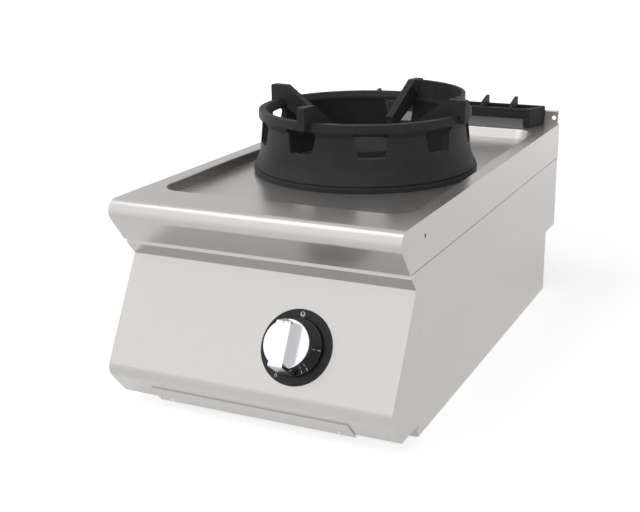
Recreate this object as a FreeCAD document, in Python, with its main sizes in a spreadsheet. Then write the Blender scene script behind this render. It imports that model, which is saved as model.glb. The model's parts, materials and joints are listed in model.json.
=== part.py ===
import FreeCAD, Part
import math
import os
from types import SimpleNamespace
import Sketcher

# A countertop gas wok range: one burner under a cast-iron ring with four arms, a sloping control
# panel with one knob, a recessed worktop and a cast flue grate at the back.
# Frame: X to the right, Y to the back, Z up. The origin is on the counter, in the middle of the
# worktop's footprint. Millimetres and degrees.

Vector = FreeCAD.Vector
doc = FreeCAD.newDocument("WokRange")

DRIVING_SIZES = {
    # Sheet work
    "unit_width": 400.0,        # over the side panels
    "unit_depth": 730.0,        # nose of the worktop to its rear edge
    "worktop_top": 280.0,       # height of the worktop over the counter
    "sheet": 1.5,               # wall of the folded sheet pieces
    "skirt_depth": 58.0,        # how far the worktop's skirts hang down
    "nose_radius": 15.4,        # bull nose along the front
    "nose_angle": 53.1,         # slope of the face under the nose, from the level
    "skirt_gap": 0.9,           # seam between a skirt and the panel below it
    "recess_width": 357.0,
    "recess_front": 76.9,       # from the nose back to the recess
    "recess_rear": 74.6,        # from the rear edge forward to the recess
    "recess_depth": 15.0,
    "recess_corner": 35.0,
    "recess_draft": 1.5,        # how far the sides and the front lean in over the depth
    "recess_rear_slope": 9.0,   # how far the rear wall leans in over the depth
    "recess_bend": 3.0,
    "burner_hole": 94.0,        # radius of the hole in the recess floor
    "join_hole": 2.8,           # radius of the hole in each side skirt
    "join_hole_back": 76.1,     # from the nose back to that hole
    "join_hole_drop": 22.1,     # from the worktop down to it
    # Control panel
    "fascia_lean": 29.5,        # from the upright, foot forward
    "fascia_top_back": 48.5,    # from the nose of the worktop back to the panel's top corner
    "fascia_top_rise": 197.4,
    "bend_rise": 58.3,          # height of the virtual corner of the big bend
    "bend_radius": 20.0,
    "return_angle": 50.0,       # slope of the underside, from the level
    "foot_rise": 17.0,
    "carcass_front": 59.2,      # from the nose back to the front edge of the side panels
    "carcass_rear": 3.1,        # from the rear edge of the worktop to the back panel
    "notch_depth": 56.5,        # step in low at the back
    "notch_rise": 102.0,
    "rail_depth": 14.0,
    "lip_out": 15.4,            # how far the panel's upper lip stands out from its top corner
    "lip_rise": 18.2,
    "flange": 12.0,             # folded edges of the side panels and of the base
    "cover_width": 284.0,
    "cover_shift": -3.0,        # the cover's middle, from the middle of the unit
    "cover_length": 34.0,
    "cover_hang": 6.0,          # how far the cover reaches past the underside's lower corner
    "cover_slant": 2.0,
    "cover_screw_reach": 121.0, # from the cover's middle out to each of its screws
    "cover_screw": 2.8,
    "back_screw": 3.2,
    # Wok ring
    "ring_back": 356.8,         # from the nose back to the ring's axis
    "ring_land": 154.8,         # outer radius of the land the arms hook over
    "ring_top": 355.8,
    "ring_foot": 165.0,
    "lift_gap": 0.3,            # air under each piece that lifts off
    "window_count": 8,
    "window_sweep": 270.0,
    "window_top_width": 48.5,
    "window_foot_width": 37.0,
    "window_low": 310.0,
    "window_high": 344.0,       # level of the band's lower edge
    "shield_top": 377.9,        # top of the raised quarter wall
    "shield_inner": 140.4,
    "shield_wall": 4.9,
    "arm_thick": 12.0,
    "arm_reach": 69.0,          # radius of the arms' inner ends
    "arm_turn": 82.0,           # direction of the rear arm from +X
    # Knob
    "knob_across": 61.0,        # from the middle of the unit to the knob's axis
    "knob_down": 89.2,          # down the control panel from its top corner
    "knob_radius": 30.2,
    "knob_face": 31.0,          # height of the round body's face over the panel
    "grip_face": 48.0,
    "grip_width": 19.0,
    "grip_up": 28.5,            # from the axis to the grip's arrow tip
    "grip_down": 30.5,          # from the axis to the grip's other end, at its face
    "grip_heel": 36.5,          # and where it meets the round body
    "knob_hub": 7.0,            # height over the panel of the round body's back
    "skirt_radius": 37.2,
    "bezel_radius": 47.8,
    "bezel_thick": 1.0,
    "push_travel": 2.5,
    "spindle_radius": 4.0,
    "spindle_depth": 22.0,      # how far the stem reaches in behind the panel
    "spindle_up": 24.0,         # and out over it, inside the knob
    "valve_width": 34.0,
    "valve_height": 40.0,
    "valve_front": 18.0,        # from the panel back to the tap's block
    "valve_back": 52.0,
    "magnet_radius": 13.0,      # the can of the flame-failure magnet
    "magnet_back": 70.0,
    "neck_radius": 7.0,
    "bracket_half_width": 45.0,
    "bracket_half_height": 30.0,
    "shaft_clearance": 0.05,
    # Flue
    "grate_half_front": 163.6,
    "grate_half_rear": 177.0,
    "grate_ahead": 61.6,        # from the worktop's rear edge forward to the grate's front
    "grate_depth": 50.6,
    "grate_top": 311.0,
    "grate_bar": 8.0,
    "fin_pitch": 50.8,
    "fin_thick": 5.0,
    "fin_tip": 325.0,
    "upstand_top": 302.7,
    "upstand_depth": 9.0,
    "upstand_hole": 3.5,
    "upstand_reach": 192.3,     # from the middle out to each of its holes
    # Burner
    "burner_radius": 62.0,
    "burner_top": 300.0,
    "bowl_low": 190.0,          # foot of the burner's bowl
    "crown": 30.0,              # height of the head and the cap together
    "bracket_top": 170.0,
    "bracket_half_depth": 32.0,
    "port_count": 16,
    "tube_radius": 21.0,
    "tube_wall": 3.0,
    "tube_mouth": 84.0,         # height of the mixing tube's lower end
    "tube_flare": 8.0,
    "jet_radius": 5.0,
    "holder_low": 54.0,
    "holder_high": 78.0,
    "holder_half": 11.0,
    "pilot_out": 13.0,          # from the bowl's side out to the pilot and the flame probe
    "pilot_apart": 14.0,
    "pilot_run": 205.0,         # height at which the pilot's pipe crosses the housing
    "pilot_pipe_radius": 2.0,
    "probe_lead_radius": 1.4,
    "pipe_radius": 5.0,
    "supply_radius": 7.5,
    "inlet_radius": 10.5,       # half-inch gas thread
    "inlet_rise": 60.0,
    "inlet_length": 30.0,
    "inlet_side": 45.0,         # from the unit's right side in to the gas inlet
}


class Size:
    """A length or an angle, with the spreadsheet expression that it comes from."""

    def __init__(self, value, text):
        self.value = float(value)
        self.text = text

    def combined(self, other, sign, swap=False):
        other = as_size(other)
        first, second = (other, self) if swap else (self, other)
        value = {
            "+": lambda a, b: a + b,
            "-": lambda a, b: a - b,
            "*": lambda a, b: a * b,
            "/": lambda a, b: a / b,
        }[sign](first.value, second.value)
        return Size(value, f"({first.text} {sign} {second.text})")

    def __add__(self, other):
        return self.combined(other, "+")

    def __radd__(self, other):
        return self.combined(other, "+", True)

    def __sub__(self, other):
        return self.combined(other, "-")

    def __rsub__(self, other):
        return self.combined(other, "-", True)

    def __mul__(self, other):
        return self.combined(other, "*")

    def __rmul__(self, other):
        return self.combined(other, "*", True)

    def __truediv__(self, other):
        return self.combined(other, "/")

    def __neg__(self):
        return Size(-self.value, f"(0 - {self.text})")


def as_size(number):
    """A plain number as a Size of its own."""
    if isinstance(number, Size):
        return number
    return Size(number, f"({float(number):.6f})")


def sine(angle):
    return Size(math.sin(math.radians(angle.value)), f"sin({angle.text})")


def cosine(angle):
    return Size(math.cos(math.radians(angle.value)), f"cos({angle.text})")


def tangent(angle):
    return Size(math.tan(math.radians(angle.value)), f"tan({angle.text})")


def make_sheet():
    """The spreadsheet of driving sizes, one alias for each."""
    sheet = doc.addObject("Spreadsheet::Sheet", "Sizes")
    for row, (alias, value) in enumerate(DRIVING_SIZES.items(), start=1):
        sheet.set(f"A{row}", alias)
        sheet.set(f"B{row}", str(value))
        sheet.setAlias(f"B{row}", alias)
    doc.recompute()
    return SimpleNamespace(**{a: Size(v, f"Sizes.{a}") for a, v in DRIVING_SIZES.items()})


size = make_sheet()

# Places that several pieces share
half_width = size.unit_width / 2
nose_y = -size.unit_depth / 2
rear_y = size.unit_depth / 2
carcass_front_y = nose_y + size.carcass_front
carcass_rear_y = rear_y - size.carcass_rear
notch_y = carcass_rear_y - size.notch_depth
skirt_foot = size.worktop_top - size.skirt_depth
panel_top = skirt_foot - size.skirt_gap
worktop_under = size.worktop_top - size.sheet
inner_half = half_width - size.sheet
ring_y = nose_y + size.ring_back
recess_floor = size.worktop_top - size.recess_depth
fascia_top_y = nose_y + size.fascia_top_back
bend_y = fascia_top_y - (size.fascia_top_rise - size.bend_rise) * tangent(size.fascia_lean)
foot_y = bend_y + (size.bend_rise - size.foot_rise) / tangent(size.return_angle)
knob_y = fascia_top_y - size.knob_down * sine(size.fascia_lean)
knob_z = size.fascia_top_rise - size.knob_down * cosine(size.fascia_lean)
knob_tilt = 90 - size.fascia_lean
grate_front_y = rear_y - size.grate_ahead
grate_rear_y = grate_front_y + size.grate_depth
half_sheet = size.sheet / 2
inlet_x = half_width - size.inlet_side


def bind(thing, name, value):
    """Tie a property, or a named constraint, to the spreadsheet."""
    thing.setExpression(name, as_size(value).text)


def place(thing, x=0, y=0, z=0, tilt=0):
    """Put a thing at a point, tilted about X."""
    turn = FreeCAD.Rotation(Vector(1, 0, 0), as_size(tilt).value)
    thing.Placement = FreeCAD.Placement(Vector(0, 0, 0), turn)
    bind(thing, "Placement.Base.x", x)
    bind(thing, "Placement.Base.y", y)
    bind(thing, "Placement.Base.z", z)
    if isinstance(tilt, Size):
        bind(thing, "Placement.Rotation.Angle", tilt)


def new_body(label):
    body = doc.addObject("PartDesign::Body", label)
    body.Label = label
    return body


def new_sketch(body, role, offset=0, turn=0):
    """A sketch on one of the body's origin planes, moved along its normal or turned about Z."""
    sketch = body.newObject("Sketcher::SketchObject", f"{body.Name}_outline")
    plane = next(p for p in body.Origin.OriginFeatures if p.Role == role)
    sketch.AttachmentSupport = [(plane, "")]
    sketch.MapMode = "FlatFace"
    if as_size(turn).value:
        up_in_plane = FreeCAD.Rotation(Vector(0, 1, 0), as_size(turn).value)
        sketch.AttachmentOffset = FreeCAD.Placement(Vector(0, 0, 0), up_in_plane)
    if as_size(offset).value:
        bind(sketch, "AttachmentOffset.Base.z", offset)
    return sketch


def pin_down(sketch, geometry, position, u, v):
    """Hold a point of the sketch at (u, v) from its origin."""
    for kind, axis, wanted in (("DistanceX", -2, u), ("DistanceY", -1, v)):
        wanted = as_size(wanted)
        if wanted.value == 0:
            sketch.addConstraint(Sketcher.Constraint("PointOnObject", geometry, position, axis))
            continue
        made = Sketcher.Constraint(kind, -1, 1, geometry, position, wanted.value)
        bind(sketch, f"Constraints[{sketch.addConstraint(made)}]", wanted)


def draw(sketch, corners):
    """Draw a closed outline. A corner is (u, v) or (u, v, radius) for a rounded one."""
    points = [Vector(as_size(c[0]).value, as_size(c[1]).value, 0) for c in corners]
    count = len(corners)
    starts, ends, centres = [], [], []
    for i, corner in enumerate(corners):
        here, before, after = points[i], points[i - 1], points[(i + 1) % count]
        if len(corner) < 3:
            starts.append(here)
            ends.append(here)
            centres.append(None)
            continue
        back = (before - here).normalize()
        on = (after - here).normalize()
        half = back.getAngle(on) / 2
        radius = as_size(corner[2]).value
        starts.append(here + back * (radius / math.tan(half)))
        ends.append(here + on * (radius / math.tan(half)))
        centres.append(here + (back + on).normalize() * (radius / math.sin(half)))
    lines = [
        sketch.addGeometry(Part.LineSegment(ends[i], starts[(i + 1) % count]), False)
        for i in range(count)
    ]
    for i, corner in enumerate(corners):
        incoming, outgoing = lines[i - 1], lines[i]
        if centres[i] is None:
            sketch.addConstraint(Sketcher.Constraint("Coincident", incoming, 2, outgoing, 1))
            pin_down(sketch, outgoing, 1, corner[0], corner[1])
            continue
        centre = centres[i]
        middle = centre + (points[i] - centre).normalize() * as_size(corner[2]).value
        turns_left = (points[i] - points[i - 1]).cross(ends[i] - points[i]).z > 0
        # A sketch counts an arc's ends counterclockwise, so a right turn is drawn backwards.
        first, last = (1, 2) if turns_left else (2, 1)
        run = (starts[i], middle, ends[i]) if turns_left else (ends[i], middle, starts[i])
        arc = sketch.addGeometry(Part.Arc(*run), False)
        mark = sketch.addGeometry(Part.Point(points[i]), True)
        sketch.addConstraint([
            Sketcher.Constraint("Tangent", incoming, 2, arc, first),
            Sketcher.Constraint("Tangent", arc, last, outgoing, 1),
            Sketcher.Constraint("PointOnObject", mark, 1, incoming),
            Sketcher.Constraint("PointOnObject", mark, 1, outgoing),
        ])
        made = Sketcher.Constraint("Radius", arc, as_size(corner[2]).value)
        bind(sketch, f"Constraints[{sketch.addConstraint(made)}]", corner[2])
        pin_down(sketch, mark, 1, corner[0], corner[1])


def draw_circle(sketch, u, v, radius):
    centre = Vector(as_size(u).value, as_size(v).value, 0)
    made = Part.Circle(centre, Vector(0, 0, 1), as_size(radius).value)
    circle = sketch.addGeometry(made, False)
    held = Sketcher.Constraint("Radius", circle, as_size(radius).value)
    bind(sketch, f"Constraints[{sketch.addConstraint(held)}]", radius)
    pin_down(sketch, circle, 3, u, v)


def inset(corners, wall):
    """A closed outline moved inwards by the wall, its round corners with it."""
    points = [Vector(as_size(c[0]).value, as_size(c[1]).value, 0) for c in corners]
    count = len(corners)
    area = sum(points[i - 1].cross(points[i]).z for i in range(count))
    inwards = 1 if area > 0 else -1
    moved = []
    for i, corner in enumerate(corners):
        arriving = (points[i] - points[i - 1]).normalize()
        leaving = (points[(i + 1) % count] - points[i]).normalize()
        first = Vector(-arriving.y, arriving.x, 0) * inwards
        second = Vector(-leaving.y, leaving.x, 0) * inwards
        step = (first + second) * (1 / (1 + first.dot(second)))
        outward_corner = arriving.cross(leaving).z * inwards > 0
        radius = [r - wall if outward_corner else r + wall for r in corner[2:]]
        moved.append((corner[0] + wall * step.x, corner[1] + wall * step.y, *radius))
    return moved


def rectangle(low_u, low_v, high_u, high_v, radius=None):
    """The corners of a rectangle, rounded if a radius is given."""
    plain = [(low_u, low_v), (high_u, low_v), (high_u, high_v), (low_u, high_v)]
    return plain if radius is None else [(*corner, radius) for corner in plain]


def pad(body, sketch, length, middle=False, back=False):
    """Pad a sketch along its normal, both ways about its plane or backwards."""
    feature = body.newObject("PartDesign::Pad", f"{body.Name}_pad")
    feature.Profile = sketch
    feature.SideType = "Symmetric" if middle else "One side"
    feature.Reversed = back
    bind(feature, "Length", length)
    return settle(body, feature, 1)


def pocket(body, sketch, length, middle=False, forward=False):
    """Cut a sketch against its normal, both ways about its plane or forwards."""
    feature = body.newObject("PartDesign::Pocket", f"{body.Name}_pocket")
    feature.Profile = sketch
    feature.SideType = "Symmetric" if middle else "One side"
    feature.Reversed = forward
    bind(feature, "Length", length)
    return settle(body, feature, -1)


def settle(body, feature, sign):
    """Recompute, and check that the feature adds to the body's volume or takes from it."""
    base = feature.BaseFeature
    doc.recompute()
    change = feature.Shape.Volume - (base.Shape.Volume if base else 0)
    if change * sign <= 0:
        raise RuntimeError(f"{feature.Name} changes the volume by {change:.1f}")
    body.Tip = feature
    return feature


def revolve(body, sketch, angle=360, cut=False):
    """Turn a sketch about its own upright axis, to add to the body or to cut it."""
    kind = "PartDesign::Groove" if cut else "PartDesign::Revolution"
    feature = body.newObject(kind, f"{body.Name}_turned")
    feature.Profile = sketch
    feature.ReferenceAxis = (sketch, ["V_Axis"])
    bind(feature, "Angle", angle)
    return settle(body, feature, -1 if cut else 1)


def hollow(body, feature, wall, open_points):
    """Shell a feature, with the faces nearest to the points left open."""
    faces = [nearest(feature.Shape.Faces, point) for point in open_points]
    feature = shell_step(body, feature, [f"Face{i + 1}" for i in faces], wall)
    return settle(body, feature, -1)


def shell_step(body, base, names, wall):
    feature = body.newObject("PartDesign::Thickness", f"{body.Name}_shell")
    feature.Base = (base, names)
    feature.Reversed = True
    feature.Join = "Intersection"
    bind(feature, "Value", wall)
    return feature


def nearest(pieces, point):
    """The index of the face or edge that lies nearest to a point."""
    spot = Part.Vertex(*[as_size(c).value for c in point])
    return min(range(len(pieces)), key=lambda i: pieces[i].distToShape(spot)[0])


def round_edges(body, feature, points, radius):
    """Fillet the edges that pass through the points."""
    edges = feature.Shape.Edges
    names = [f"Edge{nearest(edges, point) + 1}" for point in points]
    fillet = body.newObject("PartDesign::Fillet", f"{body.Name}_fillet")
    fillet.Base = (feature, names)
    bind(fillet, "Radius", radius)
    doc.recompute()
    body.Tip = fillet
    return fillet


def repeat_about_z(body, feature, count, angle=360):
    """A polar pattern of a feature about the body's own Z axis."""
    pattern = body.newObject("PartDesign::PolarPattern", f"{body.Name}_pattern")
    pattern.Originals = [feature]
    pattern.Axis = (next(a for a in body.Origin.OriginFeatures if a.Role == "Z_Axis"), [""])
    bind(pattern, "Angle", angle)
    bind(pattern, "Occurrences", count)
    doc.recompute()
    body.Tip = pattern
    return pattern


def repeat_along(body, feature, role, length, count):
    """A linear pattern of a feature along one of the body's own axes."""
    pattern = body.newObject("PartDesign::LinearPattern", f"{body.Name}_row")
    pattern.Originals = [feature]
    pattern.Direction = (next(a for a in body.Origin.OriginFeatures if a.Role == role), [""])
    bind(pattern, "Length", length)
    bind(pattern, "Occurrences", count)
    doc.recompute()
    body.Tip = pattern
    return pattern


def mirror(body, feature, role):
    """Mirror a feature about one of the body's origin planes."""
    copy = body.newObject("PartDesign::Mirrored", f"{body.Name}_mirror")
    copy.Originals = [feature]
    copy.MirrorPlane = (next(p for p in body.Origin.OriginFeatures if p.Role == role), [""])
    doc.recompute()
    body.Tip = copy
    return copy


def prism(body, role, corners, length, offset=0, middle=False, back=False):
    """Pad one outline drawn on an origin plane."""
    sketch = new_sketch(body, role, offset)
    draw(sketch, corners)
    return pad(body, sketch, length, middle, back)


def cutout(body, role, corners, length, offset=0, middle=False, forward=False):
    """Pocket one outline drawn on an origin plane."""
    sketch = new_sketch(body, role, offset)
    draw(sketch, corners)
    return pocket(body, sketch, length, middle, forward)


def bore(body, role, u, v, radius, length, offset=0, middle=False, forward=False):
    """Pocket one round hole drawn on an origin plane."""
    sketch = new_sketch(body, role, offset)
    draw_circle(sketch, u, v, radius)
    return pocket(body, sketch, length, middle, forward)


# ---------------------------------------------------------------- sheet work


def recess_outline(spread, slope_share):
    """Plan of the recess: grown by spread, and drawn in by a share of its draft."""
    side = size.recess_width / 2 + spread - size.recess_draft * slope_share
    front = nose_y + size.recess_front - spread + size.recess_draft * slope_share
    rear = rear_y - size.recess_rear + spread - size.recess_rear_slope * slope_share
    corner = size.recess_corner + spread - size.recess_draft * slope_share
    return rectangle(-side, front, side, rear, corner)


def recess_loft(body, spread, drop, cut):
    """The recess pan, as an added block or as the hollow in it."""
    rim = size.worktop_top if cut else size.worktop_top - half_sheet
    upper = new_sketch(body, "XY_Plane", rim)
    draw(upper, recess_outline(spread, 0))
    lower = new_sketch(body, "XY_Plane", size.worktop_top - drop)
    draw(lower, recess_outline(spread, 1))
    kind = "PartDesign::SubtractiveLoft" if cut else "PartDesign::AdditiveLoft"
    feature = body.newObject(kind, f"{body.Name}_pan")
    feature.Profile = upper
    feature.Sections = [lower]
    feature.Ruled = True
    return settle(body, feature, -1 if cut else 1)


def make_worktop():
    """Pressed sheet: bull-nosed front, skirts all round, a shallow recess and its openings."""
    body = new_body("worktop")
    centre_y = nose_y + size.nose_radius
    corner_y = centre_y - size.nose_radius / tangent(size.nose_angle / 2)
    chamfer_foot_y = corner_y + size.skirt_depth / tangent(size.nose_angle)
    block = prism(body, "YZ_Plane", [
        (chamfer_foot_y, skirt_foot),
        (rear_y, skirt_foot),
        (rear_y, size.worktop_top, size.sheet * 2),
        (corner_y, size.worktop_top, size.nose_radius),
    ], size.unit_width, middle=True)
    hollow(body, block, size.sheet, [(0, 0, skirt_foot)])
    recess_loft(body, size.sheet, size.recess_depth + size.sheet, cut=False)
    pan = recess_loft(body, 0, size.recess_depth, cut=True)
    round_edges(body, pan, [(0, nose_y + size.recess_front, size.worktop_top)], size.recess_bend)
    bore(body, "XY_Plane", 0, ring_y, size.burner_hole, size.recess_depth, size.worktop_top - size.sheet)
    duct = flue_plan(size.sheet)
    cutout(body, "XY_Plane", duct, size.sheet * 2, size.worktop_top + half_sheet)
    join_holes(body)
    return body


def flue_plan(spread):
    """Plan of the flue duct's outside, grown by spread."""
    half = size.grate_half_front - 2 * size.grate_bar
    front = grate_front_y + 2 * size.grate_bar
    rear = grate_rear_y - size.grate_bar
    return rectangle(-half - spread, front - spread, half + spread, rear + spread)


def make_side_panel(label, side):
    """Folded side panel: flanges in front, behind and in the notch, and a tab in the skirt."""
    body = new_body(label)
    outline = [
        (carcass_front_y, 0),
        (notch_y, 0),
        (notch_y, size.notch_rise),
        (carcass_rear_y, size.notch_rise),
        (carcass_rear_y, panel_top),
        (carcass_front_y, panel_top),
    ]
    block = prism(body, "YZ_Plane", outline, size.flange, side * half_width, back=side > 0)
    inner_x = side * (half_width - size.flange)
    middle_z = size.notch_rise / 2
    hollow(body, block, size.sheet, [(inner_x, 0, middle_z), (side * inner_half, 0, 0)])
    tab = rectangle(carcass_front_y + size.sheet, panel_top - size.flange,
                    carcass_rear_y - size.sheet, worktop_under - size.flange)
    prism(body, "YZ_Plane", tab, size.sheet, side * inner_half, back=side > 0)
    join_holes(body)
    return body


def join_holes(body):
    """Hole near the front for the screw that joins two units side by side."""
    bore(body, "YZ_Plane", nose_y + size.join_hole_back, size.worktop_top - size.join_hole_drop,
         size.join_hole, size.unit_width, middle=True)


def make_base_plate():
    """Tray between the side panels, with slots that let air in to the burner."""
    body = new_body("base_plate")
    front = carcass_front_y + size.sheet
    rear = notch_y - size.sheet
    block = prism(body, "XY_Plane", rectangle(-inner_half, front, inner_half, rear), size.flange)
    hollow(body, block, size.sheet, [(0, 0, size.flange)])
    slot_half_width = 6
    slot_reach = inner_half - 3 * size.flange
    first_y = front + 3 * size.flange
    slot = cutout(body, "XY_Plane", rectangle(-slot_reach, first_y - slot_half_width,
                                              slot_reach, first_y + slot_half_width),
                  size.sheet * 3, middle=True)
    repeat_along(body, slot, "Y_Axis", 7 * size.flange, 5)
    return body


def make_back_panel():
    """One sheet folded twice: upright, forward over the notch, and down to the base."""
    body = new_body("back_panel")
    out = carcass_rear_y + size.sheet
    step = size.notch_rise - size.sheet
    prism(body, "YZ_Plane", [
        (carcass_rear_y, panel_top),
        (carcass_rear_y, size.notch_rise),
        (notch_y, size.notch_rise),
        (notch_y, size.sheet),
        (notch_y + size.sheet, size.sheet),
        (notch_y + size.sheet, step),
        (out, step),
        (out, panel_top),
    ], size.unit_width - 2 * size.sheet, middle=True)
    bore(body, "XZ_Plane", inlet_x, size.inlet_rise, size.inlet_radius + 1, 4 * size.sheet,
         -(notch_y + 2 * size.sheet), forward=True)
    return body


def make_rail(label, front):
    """Channel across the unit that the worktop rests on."""
    body = new_body(label)
    depth = size.rail_depth
    low = panel_top
    half = inner_half - size.sheet
    prism(body, "YZ_Plane", [
        (front, low),
        (front + depth, low),
        (front + depth, low + size.sheet),
        (front + size.sheet, low + size.sheet),
        (front + size.sheet, worktop_under - size.sheet),
        (front + depth, worktop_under - size.sheet),
        (front + depth, worktop_under),
        (front, worktop_under),
    ], 2 * half, middle=True)
    return body


def make_fascia():
    """Folded control panel with closed ends: nose, slope, big bend and underside."""
    body = new_body("fascia")
    outside = [
        (carcass_front_y, panel_top),
        (carcass_front_y, size.foot_rise),
        (foot_y, size.foot_rise),
        (bend_y, size.bend_rise, size.bend_radius),
        (fascia_top_y, size.fascia_top_rise),
        (fascia_top_y - size.lip_out, size.fascia_top_rise + size.lip_rise),
        (fascia_top_y - size.lip_out + 0.8, panel_top),
    ]
    prism(body, "YZ_Plane", outside, size.unit_width, middle=True)
    inside = inset(outside, size.sheet)
    for i in (0, 1):
        inside[i] = (carcass_front_y + 1, inside[i][1])
    cutout(body, "YZ_Plane", inside, size.unit_width - 2 * size.sheet, middle=True)
    return body


def make_fascia_hole(body):
    """The hole in the control panel for the valve's neck, square to the panel."""
    tool = doc.addObject("Part::Cylinder", "neck_hole")
    bind(tool, "Radius", size.spindle_radius * 2)
    bind(tool, "Height", 8 * size.sheet)
    away = 4 * size.sheet
    place(tool, size.knob_across, knob_y + away * cosine(size.fascia_lean),
          knob_z - away * sine(size.fascia_lean), knob_tilt)
    cut = doc.addObject("Part::Cut", "fascia_pierced")
    cut.Base = body
    cut.Tool = tool
    body.Label = "fascia_blank"
    cut.Label = "fascia"
    return cut


def make_lower_cover():
    """Plate on the underside of the control panel, its ends slanted a little."""
    body = new_body("lower_cover")
    half = size.cover_width / 2
    shift = size.cover_shift
    prism(body, "XY_Plane", [
        (shift - half, -size.cover_hang, 1),
        (shift + half, -size.cover_hang, 1),
        (shift + half - size.cover_slant, size.cover_length - size.cover_hang, 1),
        (shift - half + size.cover_slant / 4, size.cover_length - size.cover_hang, 1),
    ], size.sheet)
    # Its own Y runs up the underside, and its own Z points out of it.
    place(body, 0, foot_y, size.foot_rise, 180 - size.return_angle)
    return body


def screw_head(label, x, y, z, radius, height, tilt):
    """A plain round head, standing along its own Z."""
    head = doc.addObject("Part::Cylinder", label)
    bind(head, "Radius", radius)
    bind(head, "Height", height)
    place(head, x, y, z, tilt)
    return head


def one_node(label, things):
    """Several solids that share one node."""
    group = doc.addObject("Part::Compound", label)
    group.Links = things
    group.Label = label
    return group


def make_cover_screws():
    """Two round-headed screws at the cover's lower edge."""
    up = 1.0
    lean = size.return_angle
    one_node("cover_screws", [
        screw_head(f"cover_screw_{name}", size.cover_shift + side * size.cover_screw_reach,
                   foot_y - up * cosine(lean) - size.sheet * sine(lean),
                   size.foot_rise + up * sine(lean) - size.sheet * cosine(lean),
                   size.cover_screw, size.sheet, 180 - lean)
        for name, side in (("left", -1), ("right", 1))
    ])


def make_back_screws():
    """Screws that hold the folded back panel to the side panels' flanges."""
    across = half_width - size.flange / 2
    heads = []
    for side in (-1, 1):
        for face_y, heights in ((carcass_rear_y, (120, 205)), (notch_y, (25, 85))):
            for height in heights:
                heads.append(screw_head(f"back_screw_{len(heads)}", side * across,
                                        face_y + size.sheet, height, size.back_screw,
                                        size.sheet, -90))
    one_node("back_screws", heads)


def make_rear_upstand():
    """Low strip along the rear with a screw hole near each end."""
    body = new_body("rear_upstand")
    front = grate_rear_y + size.lift_gap + 0.1
    rear = front + size.upstand_depth
    half = half_width - 1
    prism(body, "YZ_Plane", [
        (front, size.worktop_top),
        (rear, size.worktop_top),
        (rear, size.worktop_top + size.sheet),
        (front + size.sheet, size.worktop_top + size.sheet),
        (front + size.sheet, size.upstand_top - size.sheet),
        (rear, size.upstand_top - size.sheet),
        (rear, size.upstand_top),
        (front, size.upstand_top, size.sheet),
    ], 2 * half, middle=True)
    hole = bore(body, "XZ_Plane", size.upstand_reach, (size.worktop_top + size.upstand_top) / 2,
                size.upstand_hole, 4 * size.sheet, -(front + size.sheet * 3), forward=True)
    mirror(body, hole, "YZ_Plane")
    tab = prism(body, "YZ_Plane", rectangle(front, size.upstand_top - 7.5, rear, size.upstand_top),
                size.sheet, half - size.sheet)
    mirror(body, tab, "YZ_Plane")
    return body


# ---------------------------------------------------------------- flue


def make_flue_duct():
    """Rectangular duct up to the grate, with a flange that sits on the worktop."""
    body = new_body("flue_duct")
    low = worktop_under - 50
    high = size.grate_top - 2 * size.grate_bar - 2
    tube = new_sketch(body, "XY_Plane", low)
    draw(tube, flue_plan(0))
    pad(body, tube, high - low)
    flange = new_sketch(body, "XY_Plane", size.worktop_top)
    draw(flange, flue_plan(3 * size.sheet))
    pad(body, flange, size.sheet)
    cutout(body, "XY_Plane", flue_plan(-size.sheet), high - low + 2, high + 1)
    return body


def make_flue_grate():
    """Cast frame on two splayed side plates, with six fins curved like a shark's."""
    body = new_body("flue_grate")
    base = size.worktop_top + size.lift_gap
    under = size.grate_top - 2 * size.grate_bar
    bar = size.grate_bar
    front_half, rear_half = size.grate_half_front, size.grate_half_rear
    frame = new_sketch(body, "XY_Plane", base)
    draw(frame, [
        (-front_half, grate_front_y, 1.5),
        (front_half, grate_front_y, 1.5),
        (rear_half, grate_rear_y, 1.5),
        (-rear_half, grate_rear_y, 1.5),
    ])
    pad(body, frame, size.grate_top - base)
    well = new_sketch(body, "XY_Plane", size.grate_top + bar)
    draw(well, [
        (-front_half + bar * 1.35, grate_front_y + bar),
        (front_half - bar * 1.35, grate_front_y + bar),
        (rear_half - bar, grate_rear_y - bar),
        (-rear_half + bar, grate_rear_y - bar),
    ])
    pocket(body, well, 6 * bar)
    # The front and rear bars stand clear of the worktop between the side plates.
    front_leg, rear_leg = front_half - bar * 1.35, rear_half - bar * 1.35
    cutout(body, "XZ_Plane", rectangle(-front_leg, base - 1, front_leg, under), 2 * bar,
           1 - grate_front_y)
    cutout(body, "XZ_Plane", rectangle(-rear_leg, base - 1, rear_leg, size.grate_top - 1.4 * bar),
           2 * bar, -1 - grate_rear_y, forward=True)
    # The side plates' rear edges slope in under the rear bar.
    cutout(body, "YZ_Plane", [
        (grate_rear_y + 1, size.grate_top - bar / 2),
        (grate_rear_y - 6, base - 1),
        (grate_rear_y + 1, base - 1),
    ], 3 * rear_half, middle=True)
    fin_foot = under + 4
    first = -size.fin_pitch * 2.5
    fin_front, fin_rear = grate_front_y + bar / 2, grate_rear_y - bar / 2
    fin = prism(body, "YZ_Plane", [
        (fin_front, fin_foot),
        (fin_rear, fin_foot),
        (fin_rear, size.fin_tip),
        (fin_rear - 5, size.fin_tip, 10),
        (fin_front + 14, size.grate_top + 7.5, 40),
        (fin_front, size.grate_top - 1),
    ], size.fin_thick, first - size.fin_thick / 2)
    repeat_along(body, fin, "X_Axis", size.fin_pitch * 5, 6)
    return body


# ---------------------------------------------------------------- wok ring


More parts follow.
